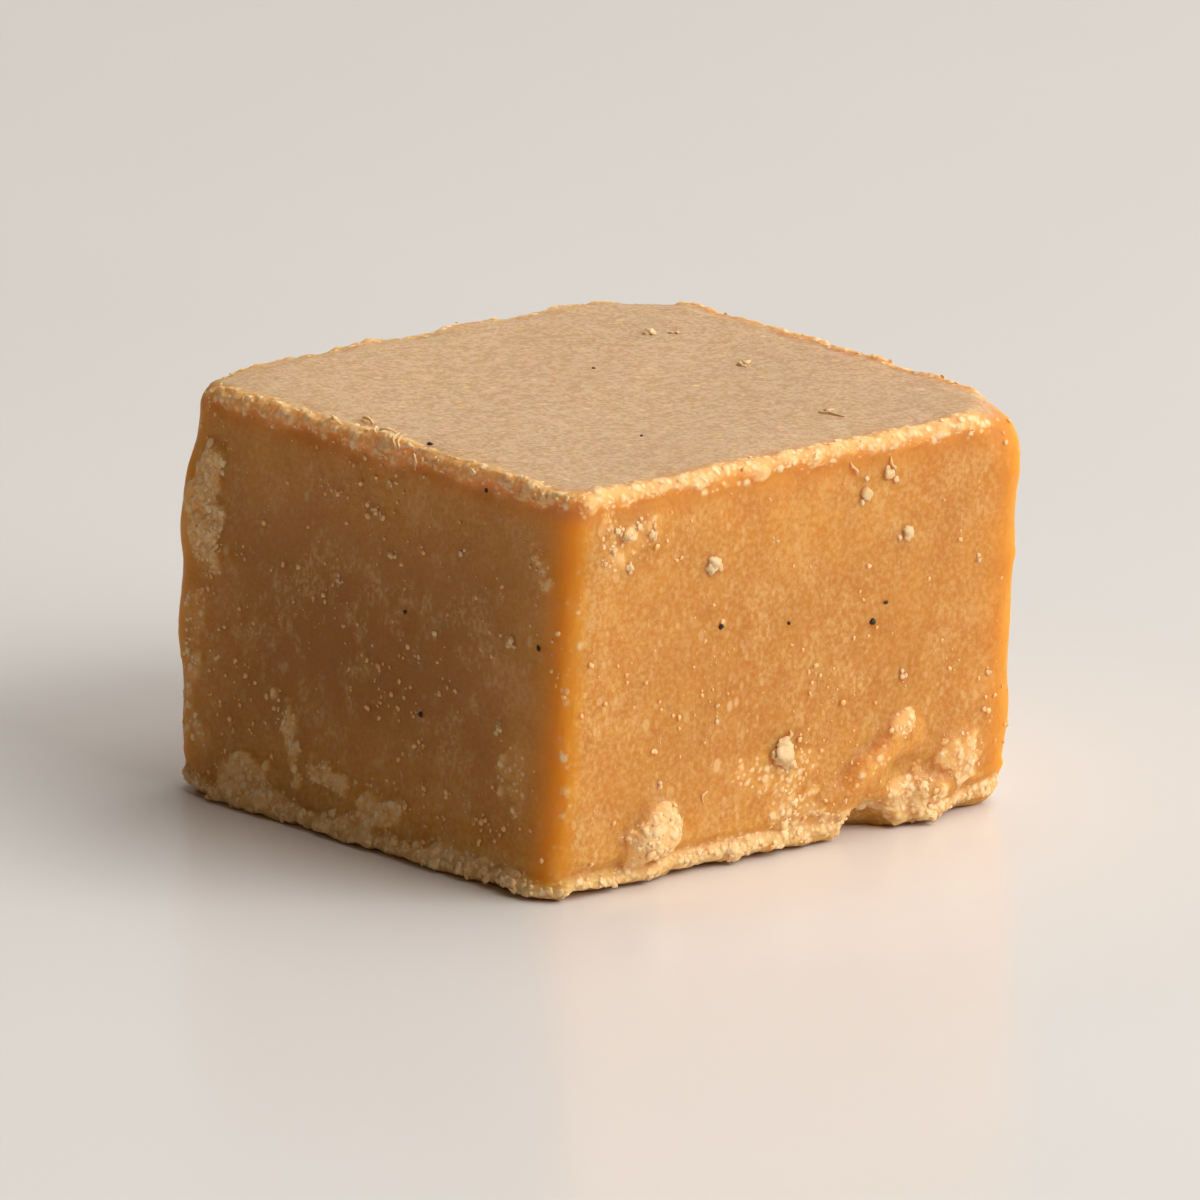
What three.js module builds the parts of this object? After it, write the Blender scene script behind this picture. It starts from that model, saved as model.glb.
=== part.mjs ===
// One cut piece of butter fudge with vanilla, resting on its flat base.
// Millimetres, +Z up. The origin is on the base, under the middle of the bounding box.
// The block is a box whose grid is rounded, worked over by the faults of a soft cut block (bowed faces,
// worn corners, a pressed-out foot, a chip with a curled lip, crumbled rims) and set out to its corners.

import * as THREE from "three";
import { mergeVertices } from "three/addons/utils/BufferGeometryUtils.js";

// Driving sizes of the block as cut.
const length = 23.4; // along X
const width = 23.7; // along Y
const height = 16.2; // along Z
const half = [length / 2, width / 2, height / 2];

// Rounding of the four upright edges, seen from above.
const uprightRadius = { frontLeft: 1.5, frontRight: 0.8, backRight: 1.3, backLeft: 2.1 };

// Rounding of the rims round the top and the base, and how much more of it each corner has, out to its
// reach. A rim's radius stays under the radius of the upright edge it meets.
const cornerReach = 3.5;
const rim = { radius: 0.5, more: { frontLeft: 0.6, frontRight: 0, backRight: 0.7, backLeft: 0.5 } };
const foot = { radius: 0.6, more: { frontLeft: 0.6, frontRight: 0.1, backRight: 0.6, backLeft: 0.5 } };

// The grid of the block's skin, with its lines drawn towards the edges.
const gridPlan = 31;
const gridUpright = 23;
const edgeCrowding = 1.35;
const weldDistance = 1e-5;

// How far from the edges the way out of the skin starts to turn from one face's to the next one's.
const turnReach = 1.6;
const straightDown = -0.999;

// How far each upright edge lies from its place on the plain box, [across X, along Y], at three heights.
const edgeShift = {
  frontLeft: { top: [-1.0, 0.75], middle: [-0.85, -0.25], base: [0.1, -0.95] },
  frontRight: { top: [0.05, 0.25], middle: [-0.15, 0], base: [-0.6, -0.3] },
  backRight: { top: [0.5, -0.6], middle: [0.4, -0.7], base: [0.05, -1.0] },
  backLeft: { top: [-0.05, 0.6], middle: [-0.2, 0.45], base: [0.1, 0.25] },
};

// How far the middle of each side stands proud of flat, and how far the top sags.
const sideBow = { left: 0.1, right: 0.1, front: -0.08, back: 0.15 };
const topSag = 0.12;

// Slow unevenness of the faces, and of the rims where crumbs have come away.
const swell = { depth: 0.05, spacing: 8.5 };
const crumble = { depth: 0.075, reach: 1.4, spacing: 3.1, bareDepth: 0.05 };

// The foot, where the soft block spread on the slab: a band pressed out round the base.
const footBand = { rise: 1.6, startsAt: 0.25, proud: 0.16, unevenness: 0.45, spacing: 6.3 };

// How deep the lower edge of the foot is worn away on each side, and how far from the edge that reaches.
const footWear = { left: 0.3, right: 0.55, front: 0.1, back: 0.3, reach: 1.7 };

// Swellings and hollows of the faces. A place is given in shares of the half sizes across X and along Y,
// and of the height up Z; proud is how far the skin moves out, or in where it is negative.
const moulding = [
  { name: "worn corner, top front left", at: [-1, -1, 1], radii: [3.0, 3.0, 4.2], proud: -0.15 },
  { name: "worn corner, top back left", at: [-1, 1, 1], radii: [3.6, 3.6, 2.6], proud: -0.3 },
  { name: "curled lip, lower end", at: [1, 0.2, 0.1], radii: [1.3, 1.5, 1.1], proud: 0.26 },
  { name: "curled lip, middle", at: [1, 0.33, 0.165], radii: [1.3, 1.5, 1.1], proud: 0.34 },
  { name: "curled lip, upper end", at: [1, 0.46, 0.235], radii: [1.3, 1.5, 1.1], proud: 0.34 },
  { name: "hollow under the lip", at: [1, 0.5, 0.15], radii: [1.5, 1.5, 0.9], proud: -0.22 },
  { name: "lobe of crumbs beside the chip", at: [1, 0.63, 0.06], radii: [1.5, 1.6, 1.1], proud: 0.42 },
  { name: "crumb pressed into the right face", at: [1, -0.6, 0.12], radii: [1.4, 1.3, 1.3], proud: 0.36 },
  { name: "crumb at the back right foot", at: [1, 0.72, 0.17], radii: [1.3, 1.2, 1.2], proud: 0.22 },
  { name: "crust on the front left edge", at: [-1, -1, 0.7], radii: [2.2, 2.2, 2.6], proud: 0.2 },
  { name: "crumbs on the back face", at: [0.3, 1, 0.22], radii: [2.0, 1.4, 1.5], proud: 0.3 },
  { name: "smear on the left face", at: [-1, 0.35, 0.55], radii: [1.4, 2.6, 2.2], proud: 0.22 },
];

// Chips broken out of the foot, placed in the same way: the radii of the broken hollow, and the way in.
const chips = [
  { name: "chip under the right face", at: [1, 0.35, -0.03], radii: [1.9, 1.75, 2], into: [-0.75, 0, 0.66] },
  { name: "nick near the front corner", at: [0.96, -0.86, -0.05], radii: [1.1, 1.3, 1.3], into: [-1, 0, 1] },
  { name: "nick in the back foot", at: [-0.35, 1.03, -0.05], radii: [1.8, 1.3, 1.8], into: [0, -0.7, 0.7] },
  { name: "nick in the left foot", at: [-1.0, 0.5, -0.06], radii: [1.2, 1.6, 1.6], into: [0.7, 0, 0.7] },
];

// Draws the grid lines of one axis towards both edges; t runs from -1 to 1.
function crowd(t) {
  return Math.sign(t) * (1 - Math.pow(1 - Math.abs(t), edgeCrowding));
}

// A smooth bump: 1 at the middle, 0 from distance 1 outwards.
function bump(distance) {
  const t = Math.max(0, 1 - distance * distance);
  return t * t * (3 - 2 * t);
}

// Uneven waves with a mean of 0 and a swing of about 1: three sines that run in unrelated directions.
// Spacing is the usual distance between crests.
function waves(point, spacing, phase) {
  const k = (2 * Math.PI) / spacing;
  const [x, y, z] = point.map((c) => c * k);
  const first = Math.sin(0.83 * x + 0.47 * y + 0.31 * z + phase);
  const second = Math.sin(-0.52 * x + 0.71 * y + 0.63 * z + 2.1 * phase + 1.3);
  const third = Math.sin(0.35 * x - 0.64 * y + 0.88 * z + 3.7 * phase + 2.6);
  return (first + second + third) / 2.2;
}

// The name of the upright edge that a point's quarter of the plan belongs to.
function edgeOf(x, y) {
  return (y < 0 ? "front" : "back") + (x < 0 ? "Left" : "Right");
}

// The radius of a rim at a place in plan, larger towards the corners.
function radiusAt([x, y], { radius, more }) {
  const fromCorner = Math.hypot(half[0] - Math.abs(x), half[1] - Math.abs(y));
  return radius + more[edgeOf(x, y)] * bump(fromCorner / cornerReach);
}

// Where a point lies from the centre of its upright edge's arc, in plan, and that arc's radius.
function fromArcCentre([x, y]) {
  const radius = uprightRadius[edgeOf(x, y)];
  const cx = Math.sign(x) * Math.max(0, Math.abs(x) - (half[0] - radius));
  const cy = Math.sign(y) * Math.max(0, Math.abs(y) - (half[1] - radius));
  return { cx, cy, apart: Math.hypot(cx, cy), radius };
}

// Rounds the upright edges: in each corner of the plan, squares about the arc's centre become arcs.
function roundPlan([x, y, z]) {
  const { cx, cy, apart } = fromArcCentre([x, y]);
  if (cx === 0 || cy === 0) return [x, y, z];
  const share = Math.max(Math.abs(cx), Math.abs(cy)) / apart;
  return [x - cx + cx * share, y - cy + cy * share, z];
}

// Rounds the top rim and the foot: in the plane of the level way out and Z, the square edge becomes an arc.
function roundRims([x, y, z]) {
  const { cx, cy, apart, radius: planRadius } = fromArcCentre([x, y]);
  const radius = radiusAt([x, y], z > 0 ? rim : foot);
  const level = radius - (planRadius - apart);
  const upright = radius - (half[2] - Math.abs(z));
  if (level <= 0 || upright <= 0) return [x, y, z];
  const share = Math.max(level, upright) / Math.hypot(level, upright);
  const inward = (level * (1 - share)) / apart;
  return [x - cx * inward, y - cy * inward, z - Math.sign(z) * upright * (1 - share)];
}

// The way out of the skin at a point, turning smoothly over the edges.
function outward(point) {
  const away = point.map((c, i) => Math.sign(c) * Math.max(0, Math.abs(c) - (half[i] - turnReach)));
  return new THREE.Vector3(...away).normalize();
}

// A place on the block from shares of its half sizes across, and of its height up.
function placeOnBlock([across, along, up]) {
  return new THREE.Vector3(across * half[0], along * half[1], (2 * up - 1) * half[2]);
}

// The values of the sides that the skin faces at a point, mixed by how squarely it faces them.
function facing(out, values) {
  const acrossX = Math.abs(out.x) * (out.x > 0 ? values.right : values.left);
  const alongY = Math.abs(out.y) * (out.y > 0 ? values.back : values.front);
  return { acrossX, alongY };
}

// How far the bows of the sides and the sag of the top move the skin, strongest at a face's middle.
function bowing([across, along, up], out) {
  const middle = (a, b) => Math.max(0, 1 - a * a) * Math.max(0, 1 - b * b);
  const { acrossX, alongY } = facing(out, sideBow);
  const sag = Math.max(0, out.z) * topSag * middle(across, along);
  return acrossX * middle(along, up) + alongY * middle(across, up) - sag;
}

// How far the skin stands out from the plain rounded box at a point, along its outward way.
function relief(point, out) {
  const [x, y] = point;
  const sideways = Math.hypot(out.x, out.y);
  const up = point[2] + half[2];
  const rise = footBand.rise * (1 + footBand.unevenness * waves([x, y, 0], footBand.spacing, 0.7));
  const depths = point.map((c, i) => half[i] - Math.abs(c)).sort((a, b) => a - b);
  const fromEdge = Math.hypot(depths[0], depths[1]);

  let stand = bowing(point.map((c, i) => c / half[i]), out);
  stand += swell.depth * waves(point, swell.spacing, 0.9);
  stand += sideways * footBand.proud * bump(Math.max(0, up - footBand.startsAt) / rise);
  const worn = facing(out, footWear);
  const fromFootEdge = Math.hypot(up, Math.min(half[0] - Math.abs(x), half[1] - Math.abs(y)));
  stand -= (worn.acrossX + worn.alongY) * bump(fromFootEdge / footWear.reach);
  const rough = crumble.depth * waves(point, crumble.spacing, 0.4) - crumble.bareDepth;
  stand += bump(fromEdge / crumble.reach) * rough;
  for (const { at, radii, proud } of moulding) {
    const away = new THREE.Vector3(...point).sub(placeOnBlock(at)).divide(new THREE.Vector3(...radii));
    stand += proud * bump(away.length());
  }
  return stand;
}

// Breaks a chip out: a point inside the broken hollow moves along the way in until it meets its wall.
function breakOut(point, { at, radii, into }) {
  const scale = new THREE.Vector3(...radii);
  const way = new THREE.Vector3(...into).normalize();
  const scaledWay = way.clone().divide(scale);
  const from = point.clone().sub(placeOnBlock(at)).divide(scale);
  const reach = 1 - from.lengthSq();
  if (reach <= 0) return point;
  const along = from.dot(scaledWay);
  const speed = scaledWay.lengthSq();
  const travel = (-along + Math.sqrt(along * along + speed * reach)) / speed;
  return point.clone().addScaledVector(way, travel);
}

// The shift of one upright edge at a height, by the parabola through its three given places.
function shiftAt({ top, middle, base }, level) {
  return [0, 1].map((axis) => {
    const slope = (top[axis] - base[axis]) / 2;
    const bend = (top[axis] + base[axis]) / 2 - middle[axis];
    return middle[axis] + slope * level + bend * level * level;
  });
}

// Sets the plain box out to its four uneven upright edges, by a point's shares of each edge.
function setOut({ x, y, z }) {
  const toRight = (1 + x / half[0]) / 2;
  const toBack = (1 + y / half[1]) / 2;
  const shares = {
    frontLeft: (1 - toRight) * (1 - toBack),
    frontRight: toRight * (1 - toBack),
    backRight: toRight * toBack,
    backLeft: (1 - toRight) * toBack,
  };
  const placed = [x, y, z];
  for (const [edge, share] of Object.entries(shares)) {
    const [across, along] = shiftAt(edgeShift[edge], z / half[2]);
    placed[0] += share * across;
    placed[1] += share * along;
  }
  return placed;
}

// One point of the skin, from its place on the grid of a cube from -1 to 1. The base stays flat.
function skinPoint(grid) {
  const box = grid.map((t, i) => crowd(t) * half[i]);
  const rounded = roundRims(roundPlan(box));
  const out = outward(rounded);
  const onBase = out.z < straightDown;
  let point = new THREE.Vector3(...rounded);
  if (!onBase) point.addScaledVector(out, relief(rounded, out));
  point.z = Math.max(point.z, -half[2]);
  for (const chip of chips) point = breakOut(point, chip);
  return setOut(point);
}

// The block's closed skin, set down with its base at Z 0 and its bounding box centred over the origin.
function blockGeometry() {
  const grid = new THREE.BoxGeometry(2, 2, 2, gridPlan, gridPlan, gridUpright);
  grid.deleteAttribute("normal");
  grid.deleteAttribute("uv");
  const skin = mergeVertices(grid, weldDistance);
  const places = skin.getAttribute("position");
  for (let i = 0; i < places.count; i += 1) {
    places.setXYZ(i, ...skinPoint([places.getX(i), places.getY(i), places.getZ(i)]));
  }
  skin.computeBoundingBox();
  const { min, max } = skin.boundingBox;
  skin.translate(-(min.x + max.x) / 2, -(min.y + max.y) / 2, -min.z);
  return skin;
}

function fudgeBlock() {
  const butterCaramel = new THREE.MeshStandardMaterial({ color: 0xc98f50, roughness: 0.55, metalness: 0 });
  const mesh = new THREE.Mesh(blockGeometry(), butterCaramel);
  mesh.name = "fudge_cube";
  return mesh;
}

const fudge = new THREE.Group();
fudge.add(fudgeBlock());
export default fudge;
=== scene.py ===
# A cut cube of vanilla butter fudge, set down on a pale glossy table.
# Sizes are in millimetres up to the point where a mesh is made, which turns them into metres.

import math

import bpy
import numpy as np
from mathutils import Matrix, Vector


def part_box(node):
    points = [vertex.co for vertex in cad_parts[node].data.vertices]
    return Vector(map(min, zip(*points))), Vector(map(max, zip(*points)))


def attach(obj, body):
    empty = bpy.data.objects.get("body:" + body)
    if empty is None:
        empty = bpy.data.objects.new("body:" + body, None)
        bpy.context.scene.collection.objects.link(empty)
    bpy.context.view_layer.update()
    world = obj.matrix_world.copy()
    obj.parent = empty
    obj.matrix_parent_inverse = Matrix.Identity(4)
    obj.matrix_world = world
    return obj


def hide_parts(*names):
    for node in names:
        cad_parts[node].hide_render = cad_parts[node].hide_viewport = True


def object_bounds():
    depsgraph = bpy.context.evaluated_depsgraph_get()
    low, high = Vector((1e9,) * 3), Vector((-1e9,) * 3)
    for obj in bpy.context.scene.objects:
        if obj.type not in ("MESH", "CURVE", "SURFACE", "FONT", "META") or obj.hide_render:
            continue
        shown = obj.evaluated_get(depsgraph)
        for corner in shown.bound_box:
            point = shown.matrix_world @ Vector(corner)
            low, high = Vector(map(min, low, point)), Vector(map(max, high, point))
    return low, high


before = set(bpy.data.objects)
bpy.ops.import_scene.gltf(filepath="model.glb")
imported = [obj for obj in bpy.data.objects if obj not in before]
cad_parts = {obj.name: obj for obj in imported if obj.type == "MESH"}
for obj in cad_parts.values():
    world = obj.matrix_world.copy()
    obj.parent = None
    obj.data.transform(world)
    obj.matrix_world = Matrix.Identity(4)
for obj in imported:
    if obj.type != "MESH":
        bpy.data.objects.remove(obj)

mm = 0.001
cadLow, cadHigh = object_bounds()
blockLow, blockHigh = (np.array(corner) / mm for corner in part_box("fudge_cube"))


def smoothStep(low, high, x):   # 0 below low, 1 above high, and an S-curve between them
    t = np.clip((x - low) / (high - low), 0, 1)
    return t * t * (3 - 2 * t)


def bump(distance):   # 1 at the middle, 0 from distance 1 outwards, smooth at both
    t = np.maximum(0, 1 - distance ** 2)
    return t * t * (3 - 2 * t)


def waves(points, spacing, phase):   # three sines in unrelated directions: a mean of 0 and a swing of about 1
    q = points * (2 * math.pi / spacing)
    first = np.sin(q @ [0.83, 0.47, 0.31] + phase)
    second = np.sin(q @ [-0.52, 0.71, 0.63] + 2.1 * phase + 1.3)
    third = np.sin(q @ [0.35, -0.64, 0.88] + 3.7 * phase + 2.6)
    return (first + second + third) / 2.2


hashing = {"mix": (73856093, 19349663, 83492791), "step": 9781, "stir": 1274126177, "range": 0x1000000}


def cellNumbers(cells, seed):   # one repeatable number from 0 to 1 for each whole-numbered cell
    keys = cells @ np.array(hashing["mix"], np.int64) + seed * hashing["step"]
    keys = (keys ^ (keys >> 13)) * hashing["stir"]
    keys = keys ^ (keys >> 16)
    return (keys % hashing["range"]) / hashing["range"]


def softNoise(points, spacing, seed):   # numbers at the corners of cells, blended smoothly: -1 to 1
    q = points / spacing
    cell = np.floor(q).astype(np.int64)
    t = smoothStep(0, 1, q - cell)
    total = np.zeros(len(q))
    for corner in np.ndindex(2, 2, 2):
        share = np.prod(np.where(corner, t, 1 - t), axis=1)
        total += share * cellNumbers(cell + corner, seed)
    return total * 2 - 1


pebble = {
    "radius": 0.75,             # in cells
    "least": 0.4,               # the lowest pebble's height, where the highest is 1
    "comesIn": (-0.08, 0.12),   # its height grows as the share of cells passes the cell's own number
}


def pebbles(points, spacing, seed, share):
    # One loosely placed round pebble in a cell, its height falling with the square of the distance from its
    # middle: 0 to 1. Share, 0 to 1, is how many of the cells have one.
    q = points / spacing
    cell = np.floor(q).astype(np.int64)
    nearest = np.full(len(q), np.inf)
    owner = cell.copy()
    for step in np.ndindex(3, 3, 3):
        near = cell + step - 1
        loose = np.stack([cellNumbers(near, seed + k) for k in (1, 2, 3)], axis=1)
        apart = np.linalg.norm(q - near - loose, axis=1)
        closer = apart < nearest
        nearest = np.where(closer, apart, nearest)
        owner = np.where(closer[:, None], near, owner)
    there = smoothStep(*pebble["comesIn"], share - cellNumbers(owner, seed + 4))
    height = pebble["least"] + (1 - pebble["least"]) * cellNumbers(owner, seed)
    return np.maximum(0, 1 - (nearest / pebble["radius"]) ** 2) * height * there


def cubeSkin(lines):
    # The skin of a cube from -1 to 1: a grid of two parameters on each of its six faces. A grid point is
    # known by its three whole numbers, so faces that meet share their points and the skin is closed.
    lines = np.array(lines)
    corners = []
    for axis in range(3):
        u, v = (axis + 1) % 3, (axis + 2) % 3
        a, b = np.meshgrid(np.arange(lines[u]), np.arange(lines[v]), indexing="ij")
        for side in (0, 1):
            ring = [(0, 0), (1, 0), (1, 1), (0, 1)] if side else [(0, 0), (0, 1), (1, 1), (1, 0)]
            quads = np.zeros((lines[u], lines[v], 4, 3), int)
            for corner, (du, dv) in enumerate(ring):
                quads[:, :, corner, u] = a + du
                quads[:, :, corner, v] = b + dv
            quads[..., axis] = side * lines[axis]
            corners.append(quads.reshape(-1, 3))
    corners = np.concatenate(corners)
    names = (corners[:, 0] * (lines[1] + 1) + corners[:, 1]) * (lines[2] + 1) + corners[:, 2]
    first, faces = np.unique(names, return_index=True, return_inverse=True)[1:]
    return corners[first] / lines * 2 - 1, faces.reshape(-1, 4)


def skinNormals(points, faces):   # each face's diagonals crossed, added up at its four corners
    across = points[faces[:, 2]] - points[faces[:, 0]]
    along = points[faces[:, 3]] - points[faces[:, 1]]
    square = np.cross(across, along)
    total = np.zeros_like(points)
    for corner in range(4):
        np.add.at(total, faces[:, corner], square)
    return total / np.linalg.norm(total, axis=1, keepdims=True)


def skinAreas(points, faces):   # the area that each point of a skin stands for
    across = points[faces[:, 2]] - points[faces[:, 0]]
    along = points[faces[:, 3]] - points[faces[:, 1]]
    quarter = np.linalg.norm(np.cross(across, along), axis=1) / 8
    return np.bincount(faces.ravel(), np.repeat(quarter, 4), len(points))


def makePiece(name, points, faces, finish, marks=None):
    # A smooth mesh of points in millimetres. Each mark is one number a point, for the finish to read.
    mesh = bpy.data.meshes.new(name)
    mesh.vertices.add(len(points))
    mesh.vertices.foreach_set("co", (points * mm).astype(np.float32).ravel())
    mesh.loops.add(faces.size)
    mesh.loops.foreach_set("vertex_index", faces.ravel().astype(np.int32))
    mesh.polygons.add(len(faces))
    mesh.polygons.foreach_set("loop_start", np.arange(len(faces), dtype=np.int32) * faces.shape[1])
    mesh.update(calc_edges=True)
    mesh.validate()
    mesh.shade_smooth()
    for mark, values in (marks or {}).items():
        layer = mesh.attributes.new(mark, "FLOAT", "POINT")
        layer.data.foreach_set("value", values.astype(np.float32))
    piece = bpy.data.objects.new(name, mesh)
    bpy.context.collection.objects.link(piece)
    mesh.materials.append(finish)
    print(name, len(points), "points", len(faces) * 2, "triangles")
    return piece


# The cut cube, with bowed faces, worn corners, a pressed-out foot, chips and a curled lip.
block = {
    "plainSize": (23.4, 23.7, 16.2),   # before it is set out to its uneven edges
    "lines": (140, 140, 104),
    "crowding": 1.5,                   # draws the grid lines towards the edges
    "uprightRadius": {"frontLeft": 1.5, "frontRight": 0.8, "backRight": 1.3, "backLeft": 2.1},
    "rimRadius": 0.5,
    "rimMore": {"frontLeft": 0.6, "frontRight": 0.0, "backRight": 1.3, "backLeft": 0.6},
    "footRadius": 0.6,
    "footMore": {"frontLeft": 0.6, "frontRight": 0.1, "backRight": 0.6, "backLeft": 0.5},
    "cornerReach": 3.5,
    "turnReach": 1.6,                  # how far from an edge the way out starts to turn
    "sideBow": {"left": 0.1, "right": 0.1, "front": -0.08, "back": 0.15},
    "topSag": 0.12,
    "swell": (0.05, 8.5),              # height and spacing
    "crumble": {"depth": 0.075, "reach": 1.4, "spacing": 3.1, "bareDepth": 0.05},
    "footBand": {"rise": 1.6, "startsAt": 0.25, "proud": 0.16, "unevenness": 0.45, "spacing": 6.3},
    "footWear": {"left": 0.3, "right": 0.55, "front": 0.1, "back": 0.3},
    "footWearReach": 1.7,
}

# How far each upright edge lies from the plain box, across X and along Y, at three heights.
edgeShift = {
    "frontLeft": {"top": (-1.0, 0.75), "middle": (-0.85, -0.25), "base": (0.1, -0.95)},
    "frontRight": {"top": (0.05, 0.25), "middle": (-0.15, 0.0), "base": (-0.6, -0.3)},
    "backRight": {"top": (0.5, -0.6), "middle": (0.4, -0.7), "base": (0.05, -1.0)},
    "backLeft": {"top": (-0.05, 0.6), "middle": (-0.2, 0.45), "base": (0.1, 0.25)},
}

# Swellings and hollows: a place in shares of the half sizes across and along and of the height up, radii, and
# how far the skin moves out.
moulding = {
    "worn corner, top front left": ((-1, -1, 1), (3.0, 3.0, 4.2), -0.15),
    "worn corner, top back left": ((-1, 1, 1), (3.6, 3.6, 2.6), -0.3),
    "curled lip, lower end": ((1, 0.2, 0.1), (1.3, 1.5, 1.1), 0.26),
    "curled lip, middle": ((1, 0.33, 0.165), (1.3, 1.5, 1.1), 0.34),
    "curled lip, upper end": ((1, 0.46, 0.235), (1.3, 1.5, 1.1), 0.34),
    "hollow under the lip": ((1, 0.5, 0.15), (1.5, 1.5, 0.9), -0.22),
    "lobe of crumbs beside the chip": ((1, 0.63, 0.06), (1.5, 1.6, 1.1), 0.42),
    "crumb pressed into the right face": ((1, -0.6, 0.12), (1.4, 1.3, 1.3), 0.36),
    "crumb at the back right foot": ((1, 0.72, 0.17), (1.3, 1.2, 1.2), 0.22),
    "crust on the front left edge": ((-1, -1, 0.7), (2.2, 2.2, 2.6), 0.2),
    "crumbs on the back face": ((0.3, 1, 0.22), (2.0, 1.4, 1.5), 0.3),
    "smear on the left face": ((-1, 0.35, 0.55), (1.4, 2.6, 2.2), 0.22),
}

# Chips broken out of the foot: a place in the same shares, the hollow's radii, and the way in.
chips = {
    "chip under the right face": ((1, 0.35, -0.03), (1.9, 1.75, 2), (-0.75, 0, 0.66)),
    "nick near the front corner": ((0.96, -0.86, -0.05), (1.1, 1.3, 1.3), (-1, 0, 1)),
    "nick in the back foot": ((-0.35, 1.03, -0.05), (1.8, 1.3, 1.8), (0, -0.7, 0.7)),
    "nick in the left foot": ((-1.0, 0.5, -0.06), (1.2, 1.6, 1.6), (0.7, 0, 0.7)),
}

half = np.array(block["plainSize"]) / 2


def byEdge(values, points):   # the value of the upright edge whose quarter of the plan each point is in
    left = points[:, 0] < 0
    front = np.where(left, values["frontLeft"], values["frontRight"])
    back = np.where(left, values["backLeft"], values["backRight"])
    return np.where(points[:, 1] < 0, front, back)


def fromArcCentre(points):   # the way from the centre of the upright edge's arc, in plan
    radius = byEdge(block["uprightRadius"], points)
    plan = points[:, :2]
    away = np.sign(plan) * np.maximum(0, np.abs(plan) - (half[:2] - radius[:, None]))
    return away, np.maximum(np.hypot(*away.T), 1e-9), radius


def roundPlan(points):   # in the corners of the plan, squares about the arc's centre become arcs
    away, apart, _ = fromArcCentre(points)
    share = np.where(away.all(axis=1), np.abs(away).max(axis=1) / apart, 1)
    rounded = points.copy()
    rounded[:, :2] += away * (share - 1)[:, None]
    return rounded


def roundRims(points):
    # In the upright plane of the way out, the square rims of the top and the foot become arcs.
    away, apart, planRadius = fromArcCentre(points)
    fromCorner = np.hypot(*(half[:2] - np.abs(points[:, :2])).T)
    nearCorner = bump(fromCorner / block["cornerReach"])
    top = points[:, 2] > 0
    more = np.where(top, byEdge(block["rimMore"], points), byEdge(block["footMore"], points))
    radius = np.where(top, block["rimRadius"], block["footRadius"]) + more * nearCorner
    level = radius - (planRadius - apart)
    upright = radius - (half[2] - np.abs(points[:, 2]))
    inRim = (level > 0) & (upright > 0)
    share = np.where(inRim, np.maximum(level, upright) / np.maximum(np.hypot(level, upright), 1e-9), 1)
    rounded = points.copy()
    rounded[:, :2] -= away * (level * (1 - share) / apart)[:, None]
    rounded[:, 2] -= np.sign(points[:, 2]) * upright * (1 - share)
    return rounded


def waysOut(points):   # the way out of the skin, turning smoothly over the edges
    away = np.sign(points) * np.maximum(0, np.abs(points) - (half - block["turnReach"]))
    return away / np.linalg.norm(away, axis=1, keepdims=True)


def placeOnBlock(shares):   # a place given in shares of the half sizes, and of the height up
    across, along, up = shares
    return np.array([across, along, 2 * up - 1]) * half


def facing(out, values):   # the values of the sides that the skin faces, across X and along Y
    acrossX = np.abs(out[:, 0]) * np.where(out[:, 0] > 0, values["right"], values["left"])
    alongY = np.abs(out[:, 1]) * np.where(out[:, 1] > 0, values["back"], values["front"])
    return acrossX, alongY


def bowing(points, out):   # faces bow by a product of parabolas; the top sags in the same way
    across, along, up = np.maximum(0, 1 - (points / half) ** 2).T
    acrossX, alongY = facing(out, block["sideBow"])
    sag = np.maximum(0, out[:, 2]) * block["topSag"] * across * along
    return acrossX * along * up + alongY * across * up - sag


def coarseRelief(points, out):
    # How far the skin stands out: the sum of bows, swells, foot band, wear, crumbled edges and moulding.
    band, crumble = block["footBand"], block["crumble"]
    up = points[:, 2] + half[2]
    fromSides = half - np.abs(points)
    level = points * [1, 1, 0]
    rise = band["rise"] * (1 + band["unevenness"] * waves(level, band["spacing"], 0.7))
    height, spacing = block["swell"]
    stand = bowing(points, out) + height * waves(points, spacing, 0.9)
    stand += np.hypot(*out[:, :2].T) * band["proud"] * bump(np.maximum(0, up - band["startsAt"]) / rise)
    fromFootEdge = np.hypot(up, fromSides[:, :2].min(axis=1))
    stand -= sum(facing(out, block["footWear"])) * bump(fromFootEdge / block["footWearReach"])
    fromEdge = np.hypot(*np.sort(fromSides, axis=1)[:, :2].T)
    rough = crumble["depth"] * waves(points, crumble["spacing"], 0.4) - crumble["bareDepth"]
    stand += bump(fromEdge / crumble["reach"]) * rough
    for shares, radii, proud in moulding.values():
        stand += proud * bump(np.linalg.norm((points - placeOnBlock(shares)) / radii, axis=1))
    return stand


def breakOut(points, shares, radii, into):
    # Points inside the hollow, an ellipsoid, move along the way in until they meet its wall.
    way = np.array(into) / np.linalg.norm(into)
    start = (points - placeOnBlock(shares)) / radii
    reach = np.maximum(0, 1 - (start ** 2).sum(axis=1))
    along = start @ (way / radii)
    speed = ((way / radii) ** 2).sum()
    travel = (-along + np.sqrt(along ** 2 + speed * reach)) / speed
    return points + np.where(reach > 0, travel, 0)[:, None] * way


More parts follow.
